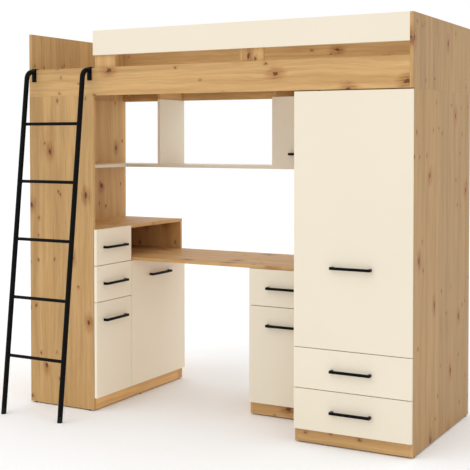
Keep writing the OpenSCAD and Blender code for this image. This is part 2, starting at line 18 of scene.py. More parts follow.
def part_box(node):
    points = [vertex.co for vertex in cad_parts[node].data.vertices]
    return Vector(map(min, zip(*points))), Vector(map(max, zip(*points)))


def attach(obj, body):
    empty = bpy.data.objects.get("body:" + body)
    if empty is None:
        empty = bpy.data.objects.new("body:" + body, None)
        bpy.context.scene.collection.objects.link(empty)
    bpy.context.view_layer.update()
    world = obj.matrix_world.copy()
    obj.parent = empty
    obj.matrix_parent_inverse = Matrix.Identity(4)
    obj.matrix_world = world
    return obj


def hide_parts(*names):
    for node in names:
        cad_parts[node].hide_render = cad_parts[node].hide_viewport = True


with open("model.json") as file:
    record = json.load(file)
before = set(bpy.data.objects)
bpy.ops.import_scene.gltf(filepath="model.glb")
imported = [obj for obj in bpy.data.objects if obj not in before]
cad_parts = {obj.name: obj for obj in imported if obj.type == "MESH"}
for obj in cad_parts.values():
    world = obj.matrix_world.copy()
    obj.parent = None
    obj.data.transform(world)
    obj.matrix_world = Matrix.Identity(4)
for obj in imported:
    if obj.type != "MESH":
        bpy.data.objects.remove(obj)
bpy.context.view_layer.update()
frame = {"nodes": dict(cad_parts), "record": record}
SLOTS = {part["node"]: part["material_slot"] for part in frame["record"]["subparts"]}
BODIES = frame["record"]["behaviour"]["bodies"]
BODY_OF = {node: body for body, nodes in BODIES.items() for node in nodes}

# %% [markdown]
# ## Small helpers for node trees
# A procedural finish is a tree of shader nodes. These helpers add a node, fill its sockets
# with numbers or links, and hand back an output, so a finish reads from top to bottom. The
# sockets of a Math, Mix or Map Range node are numbered, because several share one name.
# Nearly all of a noise lies between 0.3 and 0.7, so that range is what gets spread out.

# %% Helpers for node trees
NOISE_LOW = 0.3
NOISE_HIGH = 0.7


def fill(tree, socket, value):
    if isinstance(value, bpy.types.NodeSocket):
        tree.links.new(value, socket)
    else:
        socket.default_value = value


def add(tree, kind, sockets, **settings):
    node = tree.nodes.new("ShaderNode" + kind)
    for key, value in settings.items():
        setattr(node, key, value)
    for key, value in sockets.items():
        fill(tree, node.inputs[key], value)
    return node


def calc(tree, operation, a, b=0.0, c=0.0):
    return add(tree, "Math", {0: a, 1: b, 2: c}, operation=operation).outputs[0]


def vector(tree, operation, a, b):
    return add(tree, "VectorMath", {0: a, 1: b}, operation=operation).outputs[0]


def ramp(tree, value, low, high, out_low=0.0, out_high=1.0):
    sockets = {0: value, 1: low, 2: high, 3: out_low, 4: out_high}
    return add(tree, "MapRange", sockets, interpolation_type="SMOOTHSTEP").outputs[0]


def spread(tree, value, out_low, out_high):
    return ramp(tree, value, NOISE_LOW, NOISE_HIGH, out_low, out_high)


def blend(tree, factor, a, b, mode="MIX"):
    mixed = add(tree, "Mix", {0: factor, 6: a, 7: b}, data_type="RGBA", blend_type=mode)
    return mixed.outputs[2]


def stretch(tree, place, scale):
    return add(tree, "Mapping", {"Vector": place, "Scale": scale}).outputs[0]


def noise(tree, place, scale, detail=3.0, roughness=0.55, output=0):
    sockets = {"Vector": place, "Scale": scale, "Detail": detail, "Roughness": roughness}
    return add(tree, "TexNoise", sockets).outputs[output]


# %% [markdown]
# ## A new material
# Blender's Principled shader covers every finish here: colour, roughness and a fine relief
# are all that a board or a coated tube needs. A relief this fine (well under a millimetre)
# costs far less as a bump in the shader than as real geometry, and looks the same.

# %% Start a material
def new_material(name):
    material = bpy.data.materials.new(name)
    material.use_nodes = True
    return material, material.node_tree, material.node_tree.nodes["Principled BSDF"]


def bump(tree, shader, height, strength, distance):
    sockets = {"Height": height, "Strength": strength, "Distance": distance}
    tree.links.new(add(tree, "Bump", sockets).outputs[0], shader.inputs["Normal"])


def set_gloss(tree, shader, roughness, specular):
    fill(tree, shader.inputs["Roughness"], roughness)
    shader.inputs["Specular IOR Level"].default_value = specular


# %% [markdown]
# ## Each board's own grain and tone, with painted light
# A print on a board starts at a new place on every board, and runs along its length. So each
# board will carry two attributes, made further down. "grain" is a place in metres: x runs
# along the grain, y across it. "tone_and_light" is how light or dark this board is: its own
# tone at random, times painted light and shade on some boards. A finish that reads them
# follows the board wherever it lies. Noise stretched along x gives everything fibrous.

# %% Read the grain, and the tone with its painted light
def read_grain(tree):
    return add(tree, "Attribute", {}, attribute_name="grain").outputs["Vector"]


def read_tone_and_light(tree):
    return add(tree, "Attribute", {}, attribute_name="tone_and_light").outputs["Fac"]


def grey(tree, value):
    return add(tree, "CombineColor", {0: value, 1: value, 2: value}).outputs[0]


def fibrous(tree, grain, scale, detail=3.0, roughness=0.55, output=0):
    return noise(tree, stretch(tree, grain, scale), 1.0, detail, roughness, output)


# %% [markdown]
# ## Oak: staves and streaks
# The decor is a print of knotty oak, glued up from staves a hand wide, each of its own tone.
# The grain wanders a little, so its place is first pushed sideways by a slow noise. Four
# noises from coarse to fine then make clouds, streaks, veins and single fibres. The scales
# below say how many features there are in a metre, along and across the grain.

# %% Staves and streaks
STAVES_PER_METRE = 11.5
STAVE_DARKEST = 0.93
STAVE_SPREAD = 0.13
WANDER = {"scale": (2.2, 6.0, 6.0)}
WANDER_WIDTH = 0.055
CLOUD = {"scale": (2.2, 7.0, 7.0)}
STREAK = {"scale": (1.3, 34.0, 34.0), "detail": 5.0, "roughness": 0.62}
VEIN = {"scale": (4.2, 120.0, 120.0), "detail": 5.0, "roughness": 0.68}
VEIN_SHADE = (0.89, 1.06)
FIBRE = {"scale": (7.0, 420.0, 420.0), "roughness": 0.6}
FIBRE_SHADE = (0.955, 1.025)
OAK_LIGHT = (0.590, 0.362, 0.152, 1.0)
OAK_MIDDLE = (0.500, 0.292, 0.116, 1.0)
OAK_BROWN = (0.355, 0.175, 0.060, 1.0)
BROWN_SHARE = 0.40


def wandering(tree, grain):
    sideways = calc(tree, "MULTIPLY", fibrous(tree, grain, **WANDER), WANDER_WIDTH)
    return vector(tree, "ADD", grain, add(tree, "CombineXYZ", {1: sideways}).outputs[0])


def stave_shade(tree, grain):
    across = add(tree, "SeparateXYZ", {0: grain}).outputs[1]
    stave = calc(tree, "FLOOR", calc(tree, "MULTIPLY", across, STAVES_PER_METRE))
    draw = add(tree, "TexWhiteNoise", {"W": stave}, noise_dimensions="1D").outputs[0]
    return calc(tree, "MULTIPLY_ADD", draw, STAVE_SPREAD, STAVE_DARKEST)


def clear_oak(tree, grain, bent, fibre):
    streak = fibrous(tree, bent, **STREAK)
    vein = fibrous(tree, bent, **VEIN)
    cloud = fibrous(tree, bent, **CLOUD)
    colour = blend(tree, ramp(tree, streak, 0.34, 0.64), OAK_MIDDLE, OAK_LIGHT)
    colour = blend(tree, ramp(tree, cloud, 0.58, 0.80, 0.0, BROWN_SHARE), colour, OAK_BROWN)
    # The board's tone attribute brings its random tone and its painted light and shade into the
    # wood.
    shade = calc(tree, "MULTIPLY", stave_shade(tree, grain), read_tone_and_light(tree))
    shade = calc(tree, "MULTIPLY", shade, spread(tree, vein, *VEIN_SHADE))
    shade = calc(tree, "MULTIPLY", shade, spread(tree, fibre, *FIBRE_SHADE))
    return blend(tree, 1.0, colour, grey(tree, shade), "MULTIPLY")


# %% [markdown]
# ## Oak: knots
# A knot is a dark core in a warm halo, with fine cracks around it. The cells of a flat Voronoi
# pattern give each knot its place: the distance from a cell's middle makes core and halo, and
# the cell's random colour decides whether it has a knot at all. In a solid pattern most knots
# would lie above or below the board's face. The place is first torn by a fine noise, because
# a knot's rim is ragged and never a clean ellipse. "share" is the share of cells that stay
# without a knot; "core" and "halo" are radii, as parts of a cell.

# %% Knots
TEAR = {"scale": (34.0, 60.0, 1.0), "detail": 4.0, "roughness": 0.66, "output": "Color"}
TEAR_WIDTH = (0.034, 0.022, 0.0)
CRACK = {"scale": (14.0, 150.0, 1.0)}
CRACK_SHARE = 0.55
CORE_FULL = 0.62
HALO_FULL = 0.6
BIG_KNOTS = {"scale": (3.4, 5.4, 1.0), "share": 0.56, "core": 0.056, "halo": 0.24}
PIN_KNOTS = {"scale": (8.5, 12.0, 1.0), "share": 0.72, "core": 0.050, "halo": 0.18}
PIN_HALO_SHARE = 0.8
HALO = (0.360, 0.140, 0.045, 1.0)
HALO_SHARE = 0.62
KNOT = (0.095, 0.034, 0.012, 1.0)
KNOT_SHARE = 0.85


def torn(tree, bent):
    ragged = fibrous(tree, bent, **TEAR)
    centred = vector(tree, "SUBTRACT", ragged, (0.5, 0.5, 0.5))
    return vector(tree, "ADD", bent, vector(tree, "MULTIPLY", centred, TEAR_WIDTH))


def knots(tree, place, scale, share, core, halo):
    sockets = {"Vector": stretch(tree, place, scale), "Scale": 1.0}
    cells = add(tree, "TexVoronoi", sockets, voronoi_dimensions="2D")
    draw = add(tree, "SeparateColor", {0: cells.outputs["Color"]}).outputs[0]
    chosen = calc(tree, "GREATER_THAN", draw, share)
    reach = cells.outputs["Distance"]
    dark = calc(tree, "MULTIPLY", ramp(tree, reach, core, core * CORE_FULL), chosen)
    warm = calc(tree, "MULTIPLY", ramp(tree, reach, halo, core * HALO_FULL), chosen)
    return dark, warm


def knotty(tree, bent, colour):
    place = torn(tree, bent)
    big_dark, big_warm = knots(tree, place, **BIG_KNOTS)
    pin_dark, pin_warm = knots(tree, place, **PIN_KNOTS)
    warm = calc(tree, "MAXIMUM", big_warm, calc(tree, "MULTIPLY", pin_warm, PIN_HALO_SHARE))
    colour = blend(tree, calc(tree, "MULTIPLY", warm, HALO_SHARE), colour, HALO)
    crack = ramp(tree, fibrous(tree, bent, **CRACK), 0.50, 0.60)
    cracked = calc(tree, "MULTIPLY", calc(tree, "MULTIPLY", warm, crack), CRACK_SHARE)
    dark = calc(tree, "MAXIMUM", calc(tree, "MAXIMUM", big_dark, pin_dark), cracked)
    return blend(tree, calc(tree, "MULTIPLY", dark, KNOT_SHARE), colour, KNOT), dark


# %% [markdown]
# ## Oak: the whole decor
# The two halves are put together here. The print is pressed with a faint wood pore, so the
# single fibres also make the gloss and the relief, and the knots lie a little deeper and are
# duller than the wood around them.

# %% Oak decor
OAK_ROUGHNESS = (0.46, 0.56)
OAK_SPECULAR = 0.20
KNOT_DULLER = 0.08
KNOT_DEEPER = 0.8
PORE_DEPTH = 0.0004


def make_oak():
    material, tree, shader = new_material("oak_decor")
    grain = read_grain(tree)
    bent = wandering(tree, grain)
    fibre = fibrous(tree, bent, **FIBRE)
    colour, dark = knotty(tree, bent, clear_oak(tree, grain, bent, fibre))
    tree.links.new(colour, shader.inputs["Base Color"])
    pores = spread(tree, fibre, *OAK_ROUGHNESS)
    dull = calc(tree, "ADD", pores, calc(tree, "MULTIPLY", dark, KNOT_DULLER))
    set_gloss(tree, shader, dull, OAK_SPECULAR)
    relief = calc(tree, "SUBTRACT", fibre, calc(tree, "MULTIPLY", dark, KNOT_DEEPER))
    bump(tree, shader, relief, 0.25, PORE_DEPTH)
    return material


FINISHES = {"oak": make_oak()}
print("oak decor nodes:", len(FINISHES["oak"].node_tree.nodes))

# %% [markdown]
# ## Cream and white melamine
# The cream fronts are melamine: an even colour under a very fine pearl structure, so a faint
# bump and a little unevenness in the gloss are all that may show. The drawer boxes and the
# thin backs use the same idea in white. Both take the board's tone and its painted light and
# shade, as the oak does.

# %% Melamine
PEARL_PER_METRE = 950.0
PATCH_PER_METRE = 3.0
PEARL_DEPTH = 0.0002
MELAMINE_SPECULAR = 0.35
MELAMINE_UNEVEN = 0.05
CREAM = (0.800, 0.720, 0.580, 1.0)
CREAM_DEEPER = (0.780, 0.700, 0.555, 1.0)
WHITE = (0.80, 0.79, 0.76, 1.0)
WHITE_DEEPER = (0.76, 0.75, 0.71, 1.0)


def make_melamine(name, colour, deeper, roughness):
    material, tree, shader = new_material(name)
    grain = read_grain(tree)
    patch = noise(tree, grain, PATCH_PER_METRE, 2.0)
    pearl = noise(tree, grain, PEARL_PER_METRE, 2.0)
    mixed = blend(tree, spread(tree, patch, 0.0, 0.5), colour, deeper)
    speck = ramp(tree, pearl, 0.35, 0.70, 0.0, 0.25)
    speckled = blend(tree, speck, mixed, deeper)
    # The board's tone attribute multiplies in its random tone and its painted light and shade.
    toned = blend(tree, 1.0, speckled, grey(tree, read_tone_and_light(tree)), "MULTIPLY")
    tree.links.new(toned, shader.inputs["Base Color"])
    gloss = spread(tree, pearl, roughness - MELAMINE_UNEVEN, roughness + MELAMINE_UNEVEN)
    set_gloss(tree, shader, gloss, MELAMINE_SPECULAR)
    bump(tree, shader, pearl, 0.12, PEARL_DEPTH)
    return material


FINISHES["cream"] = make_melamine("cream_melamine", CREAM, CREAM_DEEPER, 0.42)
FINISHES["white_board"] = make_melamine("white_board", WHITE, WHITE_DEEPER, 0.50)
print("melamine:", FINISHES["cream"].name, FINISHES["white_board"].name)

# %% [markdown]
# ## Pine slats
# The slats are plain planed pine: wide growth rings, a few soft knots and no lacquer. The
# rings are one stretched noise, and the knots come from the helper that the oak uses.

# %% Planed pine
RINGS = {"scale": (1.2, 60.0, 60.0), "detail": 4.0}
PINE_FIBRE = {"scale": (9.0, 600.0, 600.0), "detail": 2.0}
PINE_ROUGHNESS = (0.58, 0.70)
PINE_DEPTH = 0.0003
PINE_KNOTS = {"scale": (3.0, 9.0, 2.0), "share": 0.72, "core": 0.12, "halo": 0.28}
PINE_EARLY = (0.78, 0.58, 0.33, 1.0)
PINE_LATE = (0.62, 0.40, 0.19, 1.0)
PINE_HALO = (0.42, 0.20, 0.07, 1.0)
PINE_HALO_SHARE = 0.6
PINE_KNOT = (0.20, 0.08, 0.03, 1.0)


def make_pine():
    material, tree, shader = new_material("planed_pine")
    grain = read_grain(tree)
    rings = fibrous(tree, grain, **RINGS)
    fibre = fibrous(tree, grain, **PINE_FIBRE)
    colour = blend(tree, ramp(tree, rings, 0.38, 0.64), PINE_EARLY, PINE_LATE)
    dark, warm = knots(tree, grain, **PINE_KNOTS)
    colour = blend(tree, calc(tree, "MULTIPLY", warm, PINE_HALO_SHARE), colour, PINE_HALO)
    tree.links.new(blend(tree, dark, colour, PINE_KNOT), shader.inputs["Base Color"])
    tree.links.new(spread(tree, fibre, *PINE_ROUGHNESS), shader.inputs["Roughness"])
    bump(tree, shader, fibre, 0.3, PINE_DEPTH)
    return material


FINISHES["pine"] = make_pine()
print("pine:", FINISHES["pine"].name)

# %% [markdown]
# ## Metal, plastic and rubber
# Handles and ladder are powder coated: black, half matt, with a fine orange peel. Hinges,
# runners and the clothes rod are plated steel with an even gloss. Glides are nylon and the
# ladder's feet are rubber. One recipe does for all of them: a peel as relief, and a slow
# noise that makes some places dustier and duller. It reads Object coordinates, which stay
# with the piece when it moves.

# %% Coated pieces
WEAR_PER_METRE = 14.0
WEAR_UNEVEN = 0.06
PEEL_DEPTH = 0.0003
COATED_SPECULAR = 0.07
COATINGS = {
    "black_metal": {
        "name": "black_powder_coat", "colour": (0.0030, 0.0030, 0.0030, 1.0),
        "dusty": (0.0045, 0.0045, 0.0045, 1.0), "roughness": 0.42,
        "peel_per_metre": 1400.0, "relief": 0.20, "metal": 0.0},
    "steel": {
        "name": "plated_steel", "colour": (0.62, 0.62, 0.63, 1.0),
        "dusty": (0.50, 0.50, 0.51, 1.0), "roughness": 0.30,
        "peel_per_metre": 700.0, "relief": 0.05, "metal": 1.0},
    "black_plastic": {
        "name": "black_nylon", "colour": (0.014, 0.014, 0.015, 1.0),
        "dusty": (0.030, 0.030, 0.030, 1.0), "roughness": 0.55,
        "peel_per_metre": 600.0, "relief": 0.20, "metal": 0.0},
    "black_rubber": {
        "name": "black_rubber", "colour": (0.012, 0.012, 0.012, 1.0),
        "dusty": (0.045, 0.043, 0.040, 1.0), "roughness": 0.78,
        "peel_per_metre": 420.0, "relief": 0.45, "metal": 0.0},
}


def make_coated(name, colour, dusty, roughness, peel_per_metre, relief, metal):
    material, tree, shader = new_material(name)
    place = add(tree, "TexCoord", {}).outputs["Object"]
    peel = noise(tree, place, peel_per_metre, 2.0)
    wear = noise(tree, place, WEAR_PER_METRE, 4.0)
    dust = ramp(tree, wear, 0.45, 0.75, 0.0, 0.5)
    tree.links.new(blend(tree, dust, colour, dusty), shader.inputs["Base Color"])
    shine = spread(tree, wear, roughness - WEAR_UNEVEN, roughness + WEAR_UNEVEN)
    set_gloss(tree, shader, shine, COATED_SPECULAR)
    shader.inputs["Metallic"].default_value = metal
    bump(tree, shader, peel, relief, PEEL_DEPTH)
    return material


for slot, recipe in COATINGS.items():
    FINISHES[slot] = make_coated(**recipe)
print("finishes:", ", ".join(sorted(FINISHES)))

# %% [markdown]
# ## Handing a finished mesh to the frame
# Every piece is a bmesh in the model's own place, so its object stays at the origin. One
# helper turns it into an object, gives it its finish and slot, lets it ride on the body of
# the node that it stands for, and hides that node. Round pieces are shaded smooth, with
# every edge sharper than the crease angle left sharp.

# %% Turn a bmesh into a piece
CREASE = math.radians(38)


def hand_over(bm, name, node, smooth=False):
    mesh = bpy.data.meshes.new(name)
    bm.to_mesh(mesh)
    bm.free()
    if smooth:
        mesh.shade_smooth()
        mesh.set_sharp_from_angle(angle=CREASE)
    mesh.materials.append(FINISHES[SLOTS[node]])
    piece = bpy.data.objects.new(name, mesh)
    bpy.context.scene.collection.objects.link(piece)
    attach(piece, BODY_OF[node])
    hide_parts(node)


# %% [markdown]
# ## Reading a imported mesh
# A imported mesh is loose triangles, and one node may hold several boards. A copy of it is
# merged, so that its triangles share corners, and then its islands are found: the groups of
# corners that are joined by edges, which are the single boards, rungs or plates.

# %% Merge a copy and find its islands
WELD = 1e-5


def merged_copy(node):
    bm = bmesh.new()
    bm.from_mesh(frame["nodes"][node].data)
    bmesh.ops.remove_doubles(bm, verts=bm.verts, dist=WELD)
    return bm


def islands(bm):
    groups, seen = [], set()
    for start in bm.verts:
        if start in seen:
            continue
        group, queue = [], [start]
        seen.add(start)
        while queue:
            vert = queue.pop()
            group.append(vert)
            for edge in vert.link_edges:
                other = edge.other_vert(vert)
                if other not in seen:
                    seen.add(other)
                    queue.append(other)
        groups.append(group)
    return groups


def extent(verts):
    low = Vector([min(v.co[i] for v in verts) for i in range(3)])
    high = Vector([max(v.co[i] for v in verts) for i in range(3)])
    return low, high


# %% [markdown]
# ## Rounding edges and raising outlines
# Three steps return on almost every piece. Sharp edges are picked by the angle between their
# faces and get a small round, which catches the thin line of light that makes an edge look
# real. A flat outline is raised to a bar or a plate. The bevel is told everything it needs,
# since its defaults differ from those of the editor. A corner counts as lying at an outer
# edge when it is less than a millimetre away from it.

# %% Helpers for shapes
SHARP = math.radians(50)
AT_EDGE = 0.001


def sharp_edges(bm):
    return [e for e in bm.edges if e.is_manifold and e.calc_face_angle(0.0) > SHARP]


def round_over(bm, edges, width, segments):
    bmesh.ops.bevel(
        bm, geom=edges, offset=width, offset_type="OFFSET", segments=segments,
        profile=0.5, affect="EDGES", clamp_overlap=True, material=-1)


def raise_outline(bm, corners, step):
    face = bm.faces.new([bm.verts.new(corner) for corner in corners])
    raised = bmesh.ops.extrude_face_region(bm, geom=[face])
    top = [v for v in raised["geom"] if isinstance(v, bmesh.types.BMVert)]
    bmesh.ops.translate(bm, vec=step, verts=top)


# %% [markdown]
# ## Boards: grain, tone and painted light
# Now each board gets the two attributes that its finish reads. The longest side is the
# grain's direction, unless a name is listed as upright, and a random offset keeps two boards
# from looking alike. The tone is drawn close to 1 at random. Some boards also get painted
# light and shade: the boards in the tower and behind the desk, where little light falls, are
# painted lighter, a few others a shade darker or lighter, and the faces that look to +x on the
# wardrobe's sides and the bed's right end get painted shade. The draws are seeded, so every
# run is the same.

# %% Grain and tone of a board
UPRIGHT = {"bed_end_left": 2, "bed_end_right": 2}
# Painted light and shade per board: lighter where little light falls, a few others a shade
# darker or lighter.
PAINTED_LIGHT_AND_SHADE = {
    "bed_end_left": 0.94, "front_rail": 1.02, "tower_end_wall": 1.12, "desk_top": 1.12,
    "tower_top": 1.22, "tower_inner_boards": 1.40, "tower_back_side": 1.35, "guard_posts": 1.10,
    "back_panel": 1.06, "tower_wide_door": 1.15, "tower_narrow_door": 1.15,
    "tower_drawer_upper_front": 1.15, "tower_drawer_lower_front": 1.15}
# Painted shade on the faces that look to +x of the wardrobe's sides and the bed's right end.
PAINTED_SIDE_SHADE = {"bed_end_right": 0.73, "wardrobe_sides": 0.73}
TONE_SPREAD = 0.02
PRINT_LENGTH = 9.0
TOUCHING = 0.0001
chance = random.Random(41)
# The count below is of boards with painted light or painted shade.
print("boards with a tone of their own:", len(PAINTED_LIGHT_AND_SHADE) + len(PAINTED_SIDE_SHADE))


def give_grain(bm, along, board_painted_light, side_shade):
    grain = bm.verts.layers.float_vector.new("grain")
    tone_and_light = bm.verts.layers.float.new("tone_and_light")
    for group in islands(bm):
        low, high = extent(group)
        order = sorted(range(3), key=lambda i: high[i] - low[i], reverse=True)
        if along is not None:
            order.remove(along)
            order.insert(0, along)
        offset = Vector([chance.uniform(0.0, PRINT_LENGTH) for _ in range(3)])
        shade = board_painted_light * chance.uniform(1 - TONE_SPREAD, 1 + TONE_SPREAD)
        for vert in group:
            vert[grain] = Vector([vert.co[i] for i in order]) + offset
            # Corners on the face that looks to +x get the painted shade.
            on_shaded_side = vert.co.x > high.x - TOUCHING
            vert[tone_and_light] = shade * side_shade if on_shaded_side else shade


# %% [markdown]
# ## Boards: eased edges
# A cut board has an edge band whose corners are eased by about half a millimetre, and sawn
# pine is rounded a little more. The flat areas of the merged copy are dissolved into single
# faces first, so that the bevel only runs along real edges.

# %% Finish the boards
FLAT = math.radians(1)
EASED = {"oak": 0.0007, "cream": 0.0008, "white_board": 0.0005, "pine": 0.0020}


def ease_edges(bm, width):
    bmesh.ops.dissolve_limit(bm, angle_limit=FLAT, verts=bm.verts, edges=bm.edges)
    round_over(bm, sharp_edges(bm), width, 2)


def finish_board(node, width):
    bm = merged_copy(node)
    ease_edges(bm, width)
    give_grain(bm, UPRIGHT.get(node), PAINTED_LIGHT_AND_SHADE.get(node, 1.0), PAINTED_SIDE_SHADE.get(node, 1.0))
    hand_over(bm, node + "_board", node)


boards = [node for node, slot in SLOTS.items() if slot in EASED]
for node in boards:
    finish_board(node, EASED[SLOTS[node]])
print("boards finished:", len(boards))

# %% [markdown]
# ## Bar handles
# Each handle is a flat bar whose ends are bent back to the front at a right angle. The
# outline of the bent bar, seen from above, is drawn with eight points and raised to the bar's
# height. The two outer corners get the bend's radius, and all other edges a small one. The
# bar is drawn for a front that faces -y, and turned for the tower's, which face +x.

# %% Bar handles
BAR = 0.010
BAR_BEND = 0.003
BAR_EASE = 0.0014


def handle_outline(length, depth, leg, z):
    half = length / 2
    outline = [
        (-half, 0), (-half, -depth), (half, -depth), (half, 0),
        (half - leg, 0), (half - leg, BAR - depth), (leg - half, BAR - depth), (leg - half, 0)]
    return [(x, y, z) for x, y in outline]


def is_bend(edge, depth):
    first, second = [v.co for v in edge.verts]
    upright = abs(first.z - second.z) > AT_EDGE
    return upright and min(first.y, second.y) < AT_EDGE - depth


def bar_handle(node):
    low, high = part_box(node)
    middle = (low + high) / 2
    size = high - low
    depth = min(size.xy)
    bm = bmesh.new()
    raise_outline(bm, handle_outline(max(size.xy), depth, size.z, -size.z / 2), (0, 0, size.z))
    bmesh.ops.recalc_face_normals(bm, faces=bm.faces)
    round_over(bm, [e for e in bm.edges if is_bend(e, depth)], BAR_BEND, 5)
    round_over(bm, sharp_edges(bm), BAR_EASE, 3)
    if size.x < size.y:
        bm.transform(Matrix.Rotation(math.radians(90), 4, "Z"))
        bmesh.ops.translate(bm, vec=(low.x, middle.y, middle.z), verts=bm.verts)
    else:
        bmesh.ops.translate(bm, vec=(middle.x, high.y, middle.z), verts=bm.verts)
    hand_over(bm, node + "_bar", node, smooth=True)


handles = [node for node in SLOTS if node.endswith("_handle")]
for node in handles:
    bar_handle(node)
print("handles:", len(handles))

# %% [markdown]
# ## Hinges, runners and cam locks
# These fittings only show when a door or a drawer is open. Their plain shapes are right, so
# they are copied and only get the small rounded edges of pressed and cast metal.

# %% Small fittings
FITTINGS = {"drawer_runners": 0.0012, "hinge_arms": 0.0015, "cam_locks": 0.0002}
FITTINGS.update({node: 0.0004 for node in SLOTS if node.endswith("_cups")})
for node, width in FITTINGS.items():
    fitting = merged_copy(node)
    ease_edges(fitting, width)
    hand_over(fitting, node + "_fitting", node)
print("fittings:", len(FITTINGS))

# %% [markdown]
# ## Turned pieces
# The clothes rod, the glides and the rungs are all turned shapes. A cylinder from bmesh with
# enough sides, bevelled at its rims, looks round from close by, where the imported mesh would
# show its facets. It is made upright at the origin and swung to the line between two points.

# %% A turned piece between two points
ROUND_SIDES = 40


def turned(bm, start, end, radius, rim, end_radius=None):
    axis = end - start
    made = bmesh.ops.create_cone(
        bm, cap_ends=True, cap_tris=False, segments=ROUND_SIDES, radius1=radius,
        radius2=end_radius or radius, depth=axis.length)
    spin = Vector((0, 0, 1)).rotation_difference(axis).to_matrix()
    bmesh.ops.rotate(bm, cent=(0, 0, 0), matrix=spin, verts=made["verts"])
    bmesh.ops.translate(bm, vec=(start + end) / 2, verts=made["verts"])
    caps = {f for v in made["verts"] for f in v.link_faces if len(f.verts) == ROUND_SIDES}
    round_over(bm, [e for f in caps for e in f.edges], rim, 3)


# %% [markdown]
# ## Clothes rod
# A plated tube hangs between two round flanges that are screwed to the wardrobe's sides. The
# tube reaches into each flange and stops a millimetre before the side, so no gap can show.

# %% Clothes rod
ROD_R = 0.0125
ROD_RIM = 0.0002
FLANGE = 0.006
FLANGE_RIM = 0.0015
SHORT_OF_SIDE = Vector((0.001, 0, 0))
low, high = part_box("clothes_rod")
middle = (low + high) / 2
left_end = Vector((low.x, middle.y, middle.z))
right_end = Vector((high.x, middle.y, middle.z))
rod = bmesh.new()
turned(rod, left_end + SHORT_OF_SIDE, right_end - SHORT_OF_SIDE, ROD_R, ROD_RIM)
for end, step in ((left_end, FLANGE), (right_end, -FLANGE)):
    turned(rod, end, end + Vector((step, 0, 0)), (high.z - low.z) / 2, FLANGE_RIM)
hand_over(rod, "clothes_rod_bar", "clothes_rod", smooth=True)
print("rod from", low.x, "to", high.x)

# %% [markdown]
# ## Glides
# Each cabinet stands on small round glides of nylon that keep its edges off the floor. One
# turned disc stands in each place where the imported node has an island.

# %% Glides
GLIDE_RIM = 0.0012
source = merged_copy("glides")
spots = [extent(group) for group in islands(source)]
source.free()
glides = bmesh.new()
for low, high in spots:
    middle = (low + high) / 2
    bottom = Vector((middle.x, middle.y, low.z))
    top = Vector((middle.x, middle.y, high.z))
    turned(glides, bottom, top, (high.x - low.x) / 2, GLIDE_RIM)
hand_over(glides, "glides_nylon", "glides", smooth=True)
print("glides:", len(spots))

# %% [markdown]
# ## Ladder: where the tube runs
# Two stiles of 25 mm tube lean against the rail. Near the top each one is bent towards the
# bed and ends in a plate hooked over the rail. Lean, bend and stub are the tube bender's
# settings. With the node's box they give the middle of the bend, the point where the bend
# starts, and the point on the tube's axis at the floor.

# %% Ladder measures
LEAN = math.radians(6.5)
TUBE_R = 0.0125
BEND = 0.040
STUB = 0.015
low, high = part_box("ladder_stiles")
up = Vector((0, math.sin(LEAN), math.cos(LEAN)))
bend_centre = Vector((0, high.y - STUB, high.z - TUBE_R - BEND))
bend_start = bend_centre + Vector((0, -math.cos(LEAN), math.sin(LEAN))) * BEND
tube_start = bend_start - up * ((bend_start.z - low.z) / up.z - TUBE_R * math.tan(LEAN))
stile_xs = (low.x + TUBE_R, high.x - TUBE_R)
print("stile from", tube_start[:], "to", high[:])

# %% [markdown]
# ## Ladder: bent stiles
# A curve with a round bevel would also do, but here the mesh is made the way a bender makes
# the tube. A ring of points is pushed up along the lean, spun round the bend's middle and
# pushed on to the plate, and both ends are closed. Spinning can turn a shape inside out, so
# its normals are worked out again at the end.

# %% Ladder stiles
TUBE_SIDES = 32
BEND_STEPS = 14
SAME_POINT = 1e-6
LEANING = Matrix.Rotation(-LEAN, 3, "X")


def push(bm, edges, step):
    made = bmesh.ops.extrude_edge_only(bm, edges=edges)
    verts = [v for v in made["geom"] if isinstance(v, bmesh.types.BMVert)]
    bmesh.ops.translate(bm, vec=step, verts=verts)
    new_edges = [e for e in made["geom"] if isinstance(e, bmesh.types.BMEdge)]
    return [e for e in new_edges if all(v in verts for v in e.verts)]


def bent_stile(bm, x):
    sideways = Vector((x, 0, 0))
    circle = bmesh.ops.create_circle(bm, segments=TUBE_SIDES, radius=TUBE_R, cap_ends=False)
    ring = circle["verts"]
    bmesh.ops.rotate(bm, cent=(0, 0, 0), matrix=LEANING, verts=ring)
    bmesh.ops.translate(bm, vec=tube_start + sideways, verts=ring)
    first = list({e for v in ring for e in v.link_edges})
    rim = push(bm, first, bend_start - tube_start)
    spun = bmesh.ops.spin(
        bm, geom=rim, cent=bend_centre + sideways, axis=(1, 0, 0), dvec=(0, 0, 0),
        angle=LEAN - math.radians(90), steps=BEND_STEPS, use_merge=False, use_duplicate=False)
    rim = [e for e in spun["geom_last"] if isinstance(e, bmesh.types.BMEdge)]
    last = push(bm, rim, Vector((0, STUB, 0)))
    bmesh.ops.contextual_create(bm, geom=first)
    bmesh.ops.contextual_create(bm, geom=last)


stiles = bmesh.new()
for x in stile_xs:
    bent_stile(stiles, x)
bmesh.ops.remove_doubles(stiles, verts=stiles.verts, dist=SAME_POINT)
bmesh.ops.recalc_face_normals(stiles, faces=stiles.faces)
print("stile faces:", len(stiles.faces))
hand_over(stiles, "ladder_stiles_tube", "ladder_stiles", smooth=True)

# %% [markdown]
# ## Ladder: rungs
# The rungs are thinner tubes, welded between the stiles. A weld leaves a small flare at both
# ends, so each rung is one long turned piece and two short cones that widen to the stile.

